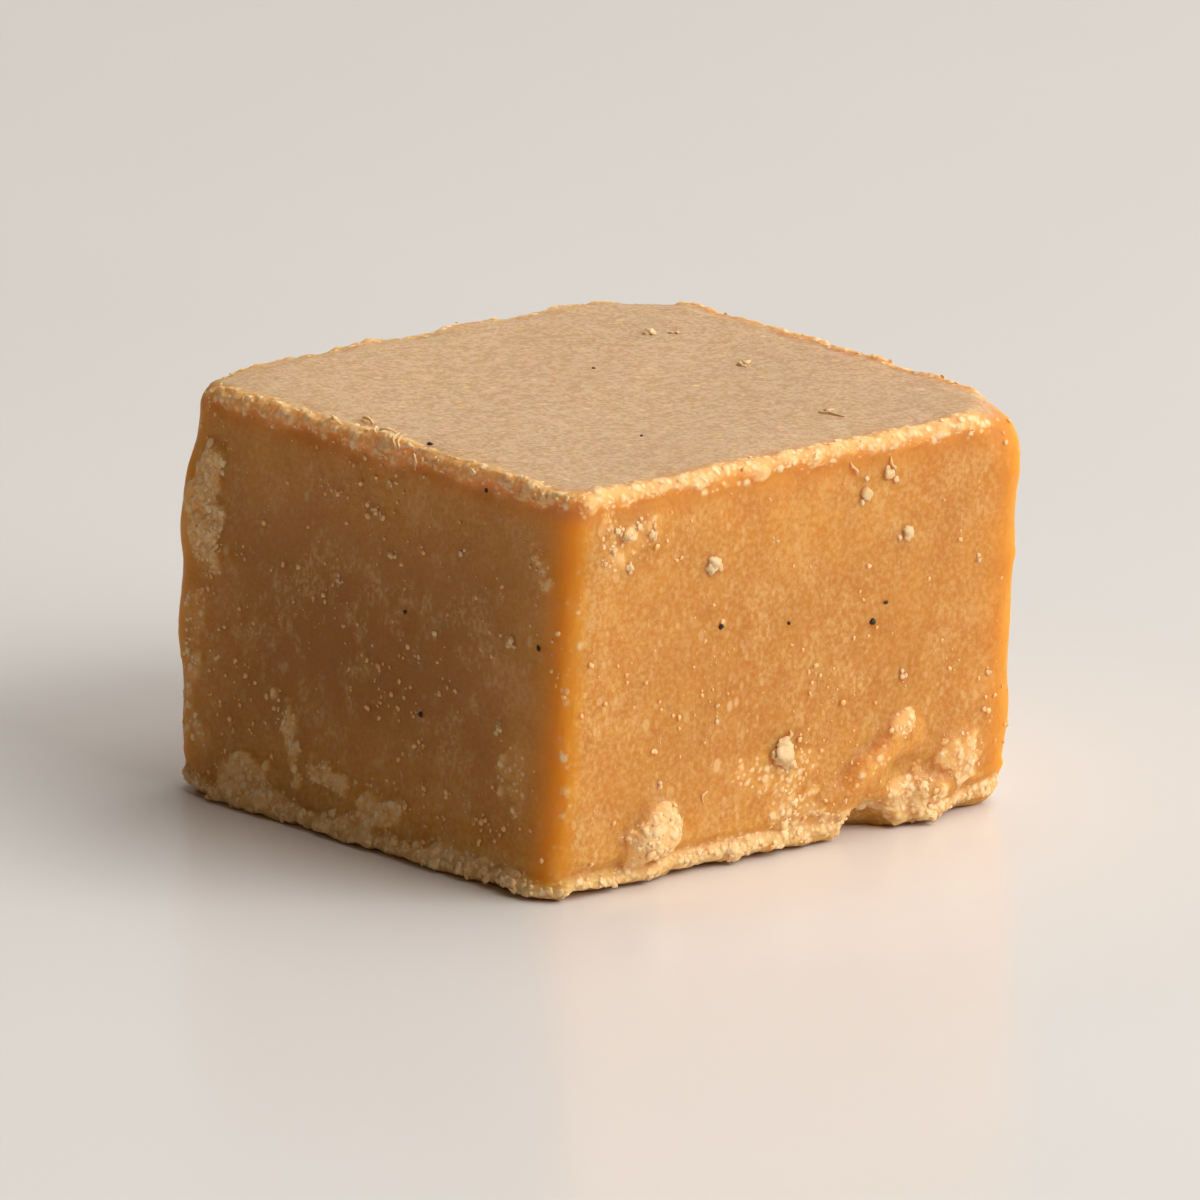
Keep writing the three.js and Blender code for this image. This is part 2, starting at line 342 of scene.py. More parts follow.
def setOut(points):
    # Moves the plain box out to its four uneven upright edges: each edge's shift by its share in plan, and a
    # parabola through the shifts at the base, the middle and the top.
    toRight = (1 + points[:, 0] / half[0]) / 2
    toBack = (1 + points[:, 1] / half[1]) / 2
    level = points[:, 2] / half[2]
    shares = {
        "frontLeft": (1 - toRight) * (1 - toBack),
        "frontRight": toRight * (1 - toBack),
        "backRight": toRight * toBack,
        "backLeft": (1 - toRight) * toBack,
    }
    placed = points.copy()
    for edge, share in shares.items():
        top, middle, base = (np.array(edgeShift[edge][height]) for height in ("top", "middle", "base"))
        shift = middle + np.outer(level, (top - base) / 2) + np.outer(level ** 2, (top + base) / 2 - middle)
        placed[:, :2] += share[:, None] * shift
    return placed


def coarseBlock(grid):   # the whole form; the base stays flat
    crowded = np.sign(grid) * (1 - (1 - np.abs(grid)) ** block["crowding"])
    plain = roundRims(roundPlan(crowded * half))
    out = waysOut(plain)
    onBase = out[:, 2] < -0.999
    stand = np.where(onBase, 0, coarseRelief(plain, out))
    points = plain + out * stand[:, None]
    points[:, 2] = np.maximum(points[:, 2], -half[2])
    for chip in chips.values():
        points = breakOut(points, *chip)
    return setOut(points), plain, out


# Where the block is broken and crumbly instead of smooth.
crumbly = {
    "rimReach": 0.47,                 # how far the top rim is crumbly, measured from its sharp edge
    "rimRagged": 0.26,
    "rimFade": (-0.3, 0.4),
    "rimOnTop": 0.5,                  # what the top itself loses of it
    "rimRise": {"height": 0.1, "mean": 0.7, "swing": 0.6, "spacing": 1.9},
    "footRise": 1.0,                  # how high the foot is crumbly
    "footRagged": 0.7,
    "footFade": 0.3,
    "edgeFade": (0.25, 0.7),          # from the upright edges
    "edgeShare": {"frontLeft": 0.9, "frontRight": 0.55, "backRight": 0.9, "backLeft": 0.8},
    "shares": {"rim": 0.95, "foot": 1.0, "patch": 1.0, "edge": 0.8, "crest": 0.36},
    "pebbles": ((0.7, 0.15), (0.38, 0.11)),   # spacing and height of the lumps there
    "settled": 0.04,                  # how far the skin lies back between the lumps
    "fine": ((0.012, 1.4, 31), (0.006, 0.5, 32)),   # height, spacing and seed of unevenness all over
    "flare": 0.36,                    # how far the foot spreads where it meets the table
    "flareRise": 1.0,                 # and from what height
    "lowest": 0.02,                   # nothing reaches lower than this, apart from the flat base
    "proudest": 0.25,                 # nor higher than this above the top
}

# How the finish changes over the block: distances from the upright edges and from the top's rim, and shares.
# They place pale haze, a painted highlight, painted glow and painted shade.
tones = {
    "facesUp": (0.6, 0.95),
    "facesFront": (0.5, 0.9),
    # pale haze away from the edges and rims, less of it on the front face
    "hazeAndHighlight": {"fromUpright": (0.7, 2.6), "fromRim": (0.6, 1.7), "lessInFront": 0.3},
    "highlightStrip": {"ends": (1.6, 3.0), "hazeAndHighlight": 1.3},   # painted highlight: the haze raised on the bright side of the front edge
    # painted glow near the upright edges, where light comes through
    "paintedGlow": {"reach": 1.3, "fromRim": (0.5, 1.4), "turns": (0.3, 0.8), "behind": 0.6},
    # painted shade in the middle of the faces, most on the front face
    "innerShade": {"depth": (1.0, 7.0), "beside": 0.25},
}

# Crumbs and smears stuck to the faces: from one place to another, how wide, pale and proud, and the number of
# grains.
patches = {
    "ball of crumbs at the right foot": ((11.9, -7.5, 2.0), (11.9, -7.1, 2.3), 1.15, 1.0, 0.2, 46),
    "lobe beside the chip": ((12.0, 5.6, 1.5), (12.0, 6.4, 1.2), 0.85, 0.9, 0.05, 22),
    "crumbs at the back right foot": ((12.2, 8.2, 2.9), (12.2, 8.6, 2.2), 0.75, 0.75, 0.08, 20),
    "knob at the end of the lip": ((12.4, 4.8, 4.1), (12.4, 5.1, 4.25), 0.4, 0.8, 0.1, 12),
    "dust of crumbs on the right face": ((12.0, -2.4, 3.6), (12.0, -0.4, 3.0), 0.9, 0.42, 0.02, 12),
    "crumbs over the right foot": ((11.8, -1.0, 1.9), (11.8, 0.6, 1.8), 0.7, 0.6, 0.04, 16),
    "crumbs under the right rim": ((12.1, -9.6, 14.3), (12.1, -7.9, 14.3), 0.75, 0.4, 0.02, 12),
    "crust on the front left edge": ((-10.1, -11.3, 13.1), (-9.9, -11.6, 9.9), 0.95, 1.0, 0.12, 70),
    "crumbs on the front left edge": ((-10.6, -12.0, 7.4), (-10.2, -12.3, 2.6), 0.6, 0.45, 0.03, 34),
    "smear on the front face": ((-5.1, -12.1, 4.6), (-4.0, -12.3, 2.4), 0.5, 0.95, 0.06, 16),
    "second smear on the front face": ((-2.5, -12.3, 2.4), (-1.2, -12.3, 2.3), 0.55, 0.75, 0.04, 12),
    "crumbs on the front foot, left": ((-8.0, -12.4, 1.5), (-5.9, -12.4, 1.2), 0.75, 0.9, 0.05, 20),
    "crumbs on the front foot, middle": ((0.4, -12.3, 1.5), (1.6, -12.3, 1.9), 0.65, 0.9, 0.05, 16),
    "faint smear on the front face": ((8.6, -11.8, 5.4), (8.9, -11.8, 3.6), 0.5, 0.3, 0.01, 3),
    "smudge by the front edge": ((10.2, -11.5, 13.6), (10.4, -11.5, 12.7), 0.4, 0.4, 0.02, 2),
    "crumbs on the back face": ((2.6, 11.9, 3.9), (4.6, 11.8, 3.1), 1.0, 0.95, 0.08, 34),
    "smear on the back face": ((-4.2, 12.2, 11.2), (-5.6, 12.3, 8.8), 0.55, 0.7, 0.04, 14),
    "crumbs under the back rim": ((5.0, 11.4, 14.4), (7.4, 11.3, 14.2), 0.6, 0.5, 0.03, 14),
    "smear on the left face": ((-12.3, 3.2, 9.6), (-12.3, 5.2, 8.2), 0.95, 0.9, 0.06, 30),
    "second smear on the left face": ((-12.2, -4.4, 5.2), (-12.2, -3.4, 3.4), 0.6, 0.6, 0.03, 14),
    "crust on the back left edge": ((-11.4, 11.6, 6.2), (-11.2, 11.8, 3.2), 0.9, 0.85, 0.08, 34),
}

# The curled lip over the chip, on the right face: a crest along a line, with a groove above it.
lip = {
    "from": (12.2, 1.7, 1.95),
    "to": (12.3, 5.1, 4.15),
    "crest": (0.3, 0.42),      # height and width
    "groove": (-0.06, 0.22),
    "grooveAt": 0.62,          # how far above the crest
}


def lipRelief(points):   # across the line, a bell-shaped crest and groove; both fade towards the line's ends
    start, end = np.array(lip["from"]), np.array(lip["to"])
    line = end - start
    share = (points - start) @ line / (line @ line)
    above = (points - start) @ np.cross(np.array([1, 0, 0]), line / np.linalg.norm(line))
    fade = bump(2 * share - 1) * smoothStep(1.5, 0.8, np.abs(points[:, 0] - start[0]))
    crest = np.exp(-(above / lip["crest"][1]) ** 2) * fade
    groove = np.exp(-((above - lip["grooveAt"]) / lip["groove"][1]) ** 2) * fade
    return lip["crest"][0] * crest + lip["groove"][0] * groove, crest


def nearPatch(points, start, end, radius):   # a bump about the line from start to end, 1 on the line
    start, end = np.array(start), np.array(end)
    line = end - start
    share = np.clip((points - start) @ line / (line @ line), 0, 1)
    return bump(np.linalg.norm(points - start - share[:, None] * line, axis=1) / (radius * 1.5))


def tatters(points):   # noise of three sizes added up, for torn outlines
    sizes = ((0.45, 0.9, 33), (0.35, 0.45, 34), (0.2, 0.25, 35))
    return sum(share * softNoise(points, spacing, seed) for share, spacing, seed in sizes)


def drifted(points):   # each point moved by slow and quick noise, so that the patches' outlines wander
    slow = np.stack([softNoise(points, 1.3, seed) for seed in (15, 16, 17)], axis=1)
    quick = np.stack([softNoise(points, 0.5, seed) for seed in (18, 19, 20)], axis=1)
    return points + (0.62 * slow + 0.3 * quick)


def crumblyRim(fromTopRim, out, ragged):   # 1 at the top's edge and 0 past a ragged distance from it
    end = crumbly["rimReach"] + crumbly["rimRagged"] * ragged
    near, far = crumbly["rimFade"]
    rim = 1 - smoothStep(end + near, end + far, fromTopRim)
    return rim * (1 - crumbly["rimOnTop"] * smoothStep(*tones["facesUp"], out[:, 2]))


def crumblyFoot(points, up, sideways):   # 1 at the base and 0 above a height that wanders round the foot
    slow = softNoise(points * [1, 1, 0], 2.6, 13) * 0.6 + softNoise(points * [1, 1, 0.3], 1.0, 14) * 0.4
    end = crumbly["footRise"] + crumbly["footRagged"] * slow
    fade = crumbly["footFade"]
    return (1 - smoothStep(end - fade, end + fade, up)) * smoothStep(0.5, 0.8, sideways)


def crumblyEdges(plain, fromUpright, tattered):   # torn bits along the upright edges, by each edge's share
    edges = (1 - smoothStep(*crumbly["edgeFade"], fromUpright)) * smoothStep(-0.3, 0.5, tattered)
    return edges * byEdge(crumbly["edgeShare"], plain)


def patchRelief(points, tattered):   # the palest patch's paleness at each point, and the sum of their heights
    wandering = drifted(points)
    patch = np.zeros(len(points))
    proud = np.zeros(len(points))
    for start, end, radius, pale, height, _ in patches.values():
        near = nearPatch(wandering, start, end, radius)
        torn = tattered * (near > 0)
        patch = np.maximum(patch, pale * smoothStep(0.3, 0.75, near + 0.85 * torn))
        proud += height * smoothStep(0.1, 0.8, near + 0.3 * torn)
    return patch, proud


def pushedOut(points, faces, out, up, stand, ragged):
    # Points move along their normals by how far they stand out, and level where the foot spreads. The base
    # stays flat.
    onBase = points[:, 2] < crumbly["lowest"]
    worked = points + skinNormals(points, faces) * np.where(onBase, 0, stand)[:, None]
    level = out[:, :2] / np.maximum(np.hypot(*out[:, :2].T), 0.3)[:, None]
    flare = crumbly["flare"] * bump(up / crumbly["flareRise"]) * (0.8 + 0.5 * ragged)
    worked[:, :2] += level * np.where(onBase, 0, flare)[:, None]
    worked[:, 2] = np.where(onBase, points[:, 2], np.maximum(worked[:, 2], crumbly["lowest"]))
    worked[:, 2] = np.minimum(worked[:, 2], blockHigh[2] + crumbly["proudest"])
    return worked


def toneMarks(plain, out, fromUpright, fromTopRim):
    # Products of S-curves: haze away from the edges, raised into a painted highlight beside the front edge;
    # painted glow close to the edges; and painted shade in the middle of a face.
    hazeAndHighlight, strip, paintedGlow, innerShade = (tones[name] for name in ("hazeAndHighlight", "highlightStrip", "paintedGlow", "innerShade"))
    front = plain[:, 1] < 0
    facesFront = smoothStep(*tones["facesFront"], -out[:, 1])
    # painted highlight: the haze raised on the strip beside the front right edge, on the +X face
    lit = smoothStep(*tones["facesFront"], out[:, 0]) * front * (1 - smoothStep(*strip["ends"], fromUpright))
    hazeWithHighlight = np.maximum(smoothStep(*hazeAndHighlight["fromUpright"], fromUpright), strip["hazeAndHighlight"] * lit)
    hazeWithHighlight *= smoothStep(*hazeAndHighlight["fromRim"], fromTopRim) * (1 - hazeAndHighlight["lessInFront"] * facesFront)
    # painted glow close to the upright edges, where light comes through
    glows = np.exp(-(fromUpright / paintedGlow["reach"]) ** 2) * smoothStep(*paintedGlow["fromRim"], fromTopRim)
    glows *= np.where(front, smoothStep(*paintedGlow["turns"], -out[:, 1]), paintedGlow["behind"])
    # painted shade: deeper towards the middle of each side face, most on the front face
    fromEdge = np.sort(half - np.abs(plain), axis=1)[:, 1]
    deep = smoothStep(*innerShade["depth"], fromEdge) * np.hypot(*out[:, :2].T)
    deep *= innerShade["beside"] + (1 - innerShade["beside"]) * facesFront
    return {"topFace": smoothStep(*tones["facesUp"], out[:, 2]), "hazeAndHighlight": hazeWithHighlight, "paintedGlow": glows, "innerShade": deep}


def makeBlock(finish):
    # The coarse form in the CAD block's own box, with the lip, patches, pebbles and fine noise added along
    # its normals. Returns what the loose grains need to know of the skin.
    grid, faces = cubeSkin(block["lines"])
    points, plain, out = coarseBlock(grid)
    low, high = points.min(axis=0), points.max(axis=0)
    points = blockLow + (points - low) * (blockHigh - blockLow) / (high - low)
    up = plain[:, 2] + half[2]
    sideways = np.hypot(*out[:, :2].T)
    fromSide = half[:2] - np.abs(plain[:, :2])
    fromUpright = np.hypot(*fromSide.T)
    fromTopRim = np.hypot(1.2 * fromSide.min(axis=1), 0.9 * (half[2] - plain[:, 2]))   # wider down the sides
    ragged = softNoise(points, 1.1, 11) * 0.55 + softNoise(points, 0.45, 12) * 0.45
    tattered = tatters(points)

    patch, proud = patchRelief(points, tattered)
    raised, crest = lipRelief(points)
    rim = crumblyRim(fromTopRim, out, ragged)
    foot = crumblyFoot(points, up, sideways)
    edge = crumblyEdges(plain, fromUpright, tattered)
    places = {"rim": rim, "foot": foot, "patch": patch, "edge": edge, "crest": crest}
    broken = np.maximum.reduce([crumbly["shares"][name] * place for name, place in places.items()])
    broken = np.clip(broken, 0, 1)

    lumps = sum(height * pebbles(points, spacing, 20 + 5 * k, broken)
                for k, (spacing, height) in enumerate(crumbly["pebbles"]))
    stand = proud + raised + lumps - crumbly["settled"] * broken
    rise = crumbly["rimRise"]
    stand += rise["height"] * rim * (rise["mean"] + rise["swing"] * softNoise(points, rise["spacing"], 36))
    stand += sum(height * softNoise(points, spacing, seed) for height, spacing, seed in crumbly["fine"])
    worked = pushedOut(points, faces, out, up, stand, ragged)

    tallest = crumbly["pebbles"][0][1]
    marks = {"broken": broken, "lumps": lumps / tallest, **toneMarks(plain, out, fromUpright, fromTopRim)}
    piece = makePiece("fudge_block", worked, faces, finish, marks)
    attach(piece, "root")
    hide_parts("fudge_cube")
    return {
        "points": worked, "normals": skinNormals(worked, faces), "areas": skinAreas(worked, faces),
        "rim": rim, "foot": foot, "sideways": sideways, "up": worked[:, 2],
    }


class Socket:
    # A node's output. Sums on it add Math nodes, with plain numbers or other outputs on either side.
    def __init__(self, finish, socket):
        self.finish = finish
        self.socket = socket

    def __add__(self, other):
        return self.finish.maths("ADD", self, other)

    def __sub__(self, other):
        return self.finish.maths("SUBTRACT", self, other)

    def __mul__(self, other):
        return self.finish.maths("MULTIPLY", self, other)

    def __rsub__(self, other):
        return self.finish.maths("SUBTRACT", other, self)

    __radd__ = __add__
    __rmul__ = __mul__


class Finish:
    # A node tree being made, of a material or of the world.
    def __init__(self, owner):
        owner.use_nodes = True
        self.tree = owner.node_tree
        self.tree.nodes.clear()

    def node(self, kind, settings, values, output=0):   # settings first, then the sockets' values and links
        made = self.tree.nodes.new(kind)
        for name, setting in settings.items():
            setattr(made, name, setting)
        for name, value in values.items():
            if isinstance(value, Socket):
                self.tree.links.new(value.socket, made.inputs[name])
            else:
                made.inputs[name].default_value = value
        return Socket(self, made.outputs[output]) if made.outputs else made

    def maths(self, operation, first, second):
        return self.node("ShaderNodeMath", {"operation": operation}, {0: first, 1: second})

    def ramp(self, value, low, high, start=0.0, end=1.0):   # an S-curve from start at low to end at high
        settings = {"interpolation_type": "SMOOTHSTEP"}
        sockets = {"Value": value, "From Min": low, "From Max": high, "To Min": start, "To Max": end}
        return self.node("ShaderNodeMapRange", settings, sockets)

    def mix(self, share, first, second):   # colours; the numbers are the Mix node's colour sockets
        settings = {"data_type": "RGBA", "clamp_factor": True}
        return self.node("ShaderNodeMix", settings, {0: share, 6: first, 7: second}, output=2)

    def place(self, stretch=(1, 1, 1)):   # where on the piece, in millimetres
        coordinates = self.node("ShaderNodeTexCoord", {}, {}, output="Object")
        scale = tuple(s / mm for s in stretch)
        return self.node("ShaderNodeVectorMath", {"operation": "MULTIPLY"}, {0: coordinates, 1: scale})

    def noise(self, place, spacing, detail=2.0, roughness=0.5):
        values = {"Vector": place, "Scale": 1 / spacing, "Detail": detail, "Roughness": roughness}
        return self.node("ShaderNodeTexNoise", {}, values)

    def cells(self, place, spacing):   # how far the nearest loose point is, in cells, and its own number
        apart = self.node("ShaderNodeTexVoronoi", {}, {"Vector": place, "Scale": 1 / spacing})
        numbers = Socket(self, apart.socket.node.outputs["Color"])
        return apart, self.node("ShaderNodeSeparateColor", {}, {0: numbers})

    def dots(self, place, spacing, largest, share):
        # Soft round dots, one in a share of the cells: 1 inside a radius that grows with the cell's number.
        apart, number = self.cells(place, spacing)
        radius = self.ramp(number, 1 - share, 1.0, 0.0, largest / spacing)
        return self.ramp(radius - apart, 0.0, 0.35 * largest / spacing)

    def granules(self, place, spacing, share):
        # Round granules that touch, one in each cell where its own number lies under the share, 0 to 1.
        apart, number = self.cells(place, spacing)
        return self.ramp(share - 0.9 * number, -0.05, 0.12) * self.ramp(apart, 0.62, 0.2)

    def mark(self, name):
        return self.node("ShaderNodeAttribute", {"attribute_name": name}, {}, output="Fac")

    def shader(self, values, bumped):
        return self.node("ShaderNodeBsdfPrincipled", {}, {**values, "Normal": bumped})

    def bumped(self, height):   # the height is in millimetres
        return self.node("ShaderNodeBump", {}, {"Height": height, "Distance": 1 * mm})

    def surface(self, shader):
        self.node("ShaderNodeOutputMaterial", {}, {"Surface": shader})


def colour(red, green, blue):   # 0 to 255 as seen on a screen, to the linear values of a shader
    seen = np.array([red, green, blue]) / 255
    linear = np.where(seen <= 0.04045, seen / 12.92, ((seen + 0.055) / 1.055) ** 2.4)
    return (*linear.tolist(), 1.0)


fudge = {
    "gold": colour(219, 150, 54),
    "brown": colour(204, 130, 41),
    "deep": colour(183, 106, 24),
    "paintedGlow": colour(244, 162, 6),      # near the upright edges, where light comes through
    "coreShade": colour(166, 102, 30),      # painted shade for the middle of a face, away from its lit edges
    # pale haze, also used for the painted highlight beside the front edge and for the scuffs
    "hazeAndHighlight": colour(230, 184, 118),
    "fleck": colour(252, 214, 156),
    "crumb": colour(255, 230, 184),
    # the darker crumb tone between the granules: painted shade
    "crumbShade": colour(250, 196, 124),
    # the fudge between crumbs: a warm gold, partly its own colour and partly painted warm shade
    "crumbGapShade": colour(248, 184, 98),
    # the top's paler tones: partly its own dry bloom and partly painted sheen
    "top": colour(214, 185, 151),
    "topDark": colour(190, 155, 116),
    "glowReach": 2.2 * mm,
    "glow": (1.0, 0.55, 0.18),         # how far red, green and blue light travel inside, as shares of it
    "fineDots": {"spacing": 0.33, "largest": 0.14, "share": 0.8},
    "brightDots": {"spacing": 0.8, "largest": 0.22, "share": 0.6},
    "coarse": 0.42,                    # spacing of the granules where it is broken
    "small": 0.23,
    "relief": {"grain": 0.025, "streaks": 0.015, "coarse": 0.05, "small": 0.022},
}


def fudgeFinish():
    # Brown to gold caramel that light enters, with a paler, streaky top, its paleness partly dry bloom and
    # partly painted sheen. Over it lie pale haze, flecks and scuffs, a painted highlight beside the front
    # edge, painted glow near the upright edges and painted shade in the middle of the faces. Where it is
    # broken, dry crumbs are mixed in by the highest of granules, lumps and the mark; they are painted paler
    # on the granules' tops and darker between them, and the fudge between them is painted a warm gold, partly
    # as shade.
    material = bpy.data.materials.new("butter_fudge")
    f = Finish(material)
    place = f.place()
    upright = f.place((1, 1, 0.6))   # a little taller than wide
    grain = f.noise(place, 0.2, 2.0, 0.6)
    cloudy = f.noise(place, 1.3, 3.0)
    topFace = f.mark("topFace")
    broken = f.mark("broken")
    hazeAndHighlight = f.mark("hazeAndHighlight")
    innerShade = f.mark("innerShade")

    clouds = 0.45 * f.noise(place, 4.5, 3.0) + 0.55 * cloudy
    body = f.mix(f.ramp(clouds, 0.3, 0.68), fudge["brown"], fudge["gold"])
    body = f.mix(f.ramp(grain, 0.5, 0.25, 0.0, 0.35), body, fudge["deep"])
    # pale haze, raised into a painted highlight on the strip beside the front edge
    body = f.mix(hazeAndHighlight * (0.05 + f.ramp(grain, 0.42, 0.7, 0.0, 0.42)), body, fudge["hazeAndHighlight"])

    # the paler top: streaky dry bloom, with painted sheen in its paleness
    streaks = f.noise(f.place((0.9, 0.6, 0.5)), 0.5, 4.0, 0.65)
    topWithSheen = f.mix(f.ramp(0.45 * streaks + 0.55 * grain, 0.4, 0.6), fudge["topDark"], fudge["top"])
    body = f.mix(0.85 * topFace, body, topWithSheen)

    dusty = f.ramp(f.noise(upright, 2.6, 3.0), 0.36, 0.66, 0.35, 1.0)
    fine = f.dots(upright, **fudge["fineDots"])
    bright = f.dots(upright, **fudge["brightDots"])
    flecks = f.maths("MAXIMUM", 0.36 * fine, 0.7 * bright) * dusty
    body = f.mix(flecks * (0.4 + 0.6 * hazeAndHighlight) * (1 - 0.35 * topFace), body, fudge["fleck"])
    # painted shade in the middle of the faces
    body = f.mix(0.72 * innerShade, body, fudge["coreShade"])

    rubbed = 0.55 * f.noise(f.place((1, 1, 0.75)), 0.7, 5.0, 0.7) + 0.45 * f.noise(place, 3.0)
    strokes = f.ramp(f.noise(f.place((1, 1, 0.8)), 0.2, 2.0, 0.6), 0.42, 0.64, 0.1, 1.0)
    scuffs = (0.5 + 0.4 * innerShade) * f.ramp(rubbed, 0.48, 0.58) * strokes * hazeAndHighlight * (1 - topFace)
    body = f.mix(scuffs, body, fudge["hazeAndHighlight"])
    # painted glow near the upright edges
    body = f.mix(f.mark("paintedGlow"), body, fudge["paintedGlow"])
    # where it is broken, a warm gold between the crumbs: partly the fudge's colour, partly painted warm shade
    body = f.mix(0.7 * broken * (1 - 0.7 * topFace), body, fudge["crumbGapShade"])

    coarse = f.granules(place, fudge["coarse"], broken)
    small = f.granules(place, fudge["small"], broken)
    relief = fudge["relief"]
    height = relief["grain"] * grain + relief["streaks"] * streaks * topFace
    height = height + relief["coarse"] * coarse + relief["small"] * small
    bumped = f.bumped(height)
    smooth = f.shader({
        "Base Color": body, "Roughness": 0.55 + 0.16 * (grain - 0.5), "IOR": 1.44,
        "Subsurface Weight": 1.0, "Subsurface Radius": fudge["glow"], "Subsurface Scale": fudge["glowReach"],
    }, bumped)
    # the crumbs' tone follows grain noise and the granules' heights: paler on their tops as a painted
    # highlight, darker between them as painted shade
    crumbs = f.shader({
        "Base Color": f.mix(0.4 * coarse + 0.3 * small + 0.4 * grain, fudge["crumbShade"], fudge["crumb"]),
        "Roughness": 0.7, "IOR": 1.44,
    }, bumped)
    dry = f.maths("MAXIMUM", coarse, 0.8 * small)
    dry = f.maths("MAXIMUM", dry, f.ramp(f.mark("lumps"), 0.2, 0.8, 0.0, 0.8))
    dry = f.maths("MAXIMUM", dry, f.ramp(broken, 0.4, 0.9, 0.0, 0.38))
    f.surface(f.node("ShaderNodeMixShader", {}, {0: 0.9 * dry, 1: smooth, 2: crumbs}))
    return material


def crumbFinish(name, pale, deep):   # a dry crumb, its two colours mixed by cloudy noise and fine grain
    material = bpy.data.materials.new(name)
    f = Finish(material)
    place = f.place()
    cloudy = f.noise(place, 0.7, 2.0)
    grain = f.noise(place, 0.12, 2.0, 0.6)
    base = f.mix(f.ramp(0.6 * cloudy + 0.4 * grain, 0.34, 0.62), deep, pale)
    values = {"Base Color": base, "Roughness": 0.55 + 0.2 * grain, "IOR": 1.46}
    f.surface(f.shader(values, f.bumped(0.012 * grain)))
    return material


def seedFinish():   # nearly black, with brown grain and a slight gloss
    material = bpy.data.materials.new("vanilla_seed")
    f = Finish(material)
    grain = f.noise(f.place(), 0.06, 2.0)
    base = f.mix(grain, colour(24, 14, 10), colour(48, 28, 18))
    f.surface(f.shader({"Base Color": base, "Roughness": 0.35 + 0.2 * grain}, f.bumped(0.006 * grain)))
    return material


def turns(count, chance):   # random turns, as matrices from unit quaternions
    a, b, c, d = chance.normal(size=(4, count))
    size = np.sqrt(a * a + b * b + c * c + d * d)
    a, b, c, d = a / size, b / size, c / size, d / size
    rows = [
        [1 - 2 * (c * c + d * d), 2 * (b * c - a * d), 2 * (b * d + a * c)],
        [2 * (b * c + a * d), 1 - 2 * (b * b + d * d), 2 * (c * d - a * b)],
        [2 * (b * d - a * c), 2 * (c * d + a * b), 1 - 2 * (b * b + c * c)],
    ]
    return np.moveaxis(np.array(rows), 2, 0)


crumbShape = {"cube": 0.8, "uneven": (0.74, 1.2), "stretch": (0.62, 1.2)}   # the cube's size, and two ranges


def makeCrumbs(places, normals, sizes, chance, lines=2, flat=0.7, sunk=0.4, blocky=0.35):
    # At each place a cube's skin drawn towards a ball, its points pushed in or out, stretched three ways,
    # turned, then flattened along the skin's normal and sunk a little.
    cube, faces = cubeSkin((lines, lines, lines))
    ball = cube / np.linalg.norm(cube, axis=1, keepdims=True)
    shape = ball + blocky * (crumbShape["cube"] * cube - ball)
    count = len(places)
    uneven = shape * chance.uniform(*crumbShape["uneven"], (count, len(shape), 1))
    uneven = uneven * chance.uniform(*crumbShape["stretch"], (count, 1, 3))
    turned = np.einsum("nvk,nkj->nvj", uneven, turns(count, chance))
    along = (turned * normals[:, None]).sum(axis=2, keepdims=True)
    turned -= (1 - flat) * along * normals[:, None]
    seat = places + normals * (sizes * (flat / 2 - sunk))[:, None]
    points = seat[:, None] + sizes[:, None, None] / 2 * turned
    points[..., 2] = np.maximum(points[..., 2], crumbly["lowest"] / 2)
    joined = faces[None] + (np.arange(count) * len(shape))[:, None, None]
    return points.reshape(-1, 3), joined.reshape(-1, 4)


def pick(skin, weight, count, chance, spread=0.1):   # skin points by chance, in proportion to weight and area
    share = weight * skin["areas"]
    chosen = chance.choice(len(share), count, p=share / share.sum())
    loose = chance.normal(size=(count, 3)) * spread
    normals = skin["normals"][chosen]
    loose -= (loose * normals).sum(axis=1, keepdims=True) * normals
    return skin["points"][chosen] + loose, normals


def nearest(skin, places):   # the skin's own points nearest to the given ones, and their normals
    chosen = [np.argmin(((skin["points"] - place) ** 2).sum(axis=1)) for place in np.array(places, float)]
    return skin["points"][chosen], skin["normals"][chosen]


def unevenSizes(sizes, count, chance):   # a random share to a power: many small ones and a few large ones
    low, high = sizes
    return low + (high - low) * chance.random(count) ** 2.2


def scatter(name, skin, weight, grains, finish):   # grains by chance, more where the weight is high
    chance = np.random.default_rng(grains["seed"])
    places, normals = pick(skin, weight, grains["count"], chance)
    sizes = unevenSizes(grains["sizes"], grains["count"], chance)
    points, faces = makeCrumbs(places, normals, sizes, chance, **grains["shape"])
    piece = makePiece(name, points, faces, finish)
    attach(piece, "root")


rimGrains = {"seed": 41, "count": 340, "sizes": (0.16, 0.36), "shape": {"lines": 3, "flat": 0.38}}


def makeRimGrains(skin, finish):   # crowded towards the sharp edge of the rim
    scatter("rim_grains", skin, skin["rim"] ** 2, rimGrains, finish)


footGrains = {"seed": 42, "count": 900, "sizes": (0.18, 0.5), "shape": {"lines": 3, "flat": 0.5}}


def makeFootGrains(skin, finish):   # all over the crumbly foot, apart from what touches the table
    scatter("foot_grains", skin, skin["foot"] * smoothStep(0.1, 0.4, skin["up"]), footGrains, finish)


faceFlecks = {
    "seed": 45, "count": 1300, "sizes": (0.09, 0.28), "shape": {"flat": 0.5, "sunk": 0.12},
    "apart": 0.08,        # how many lie outside the clusters
    "moreInFront": 1.2,
}


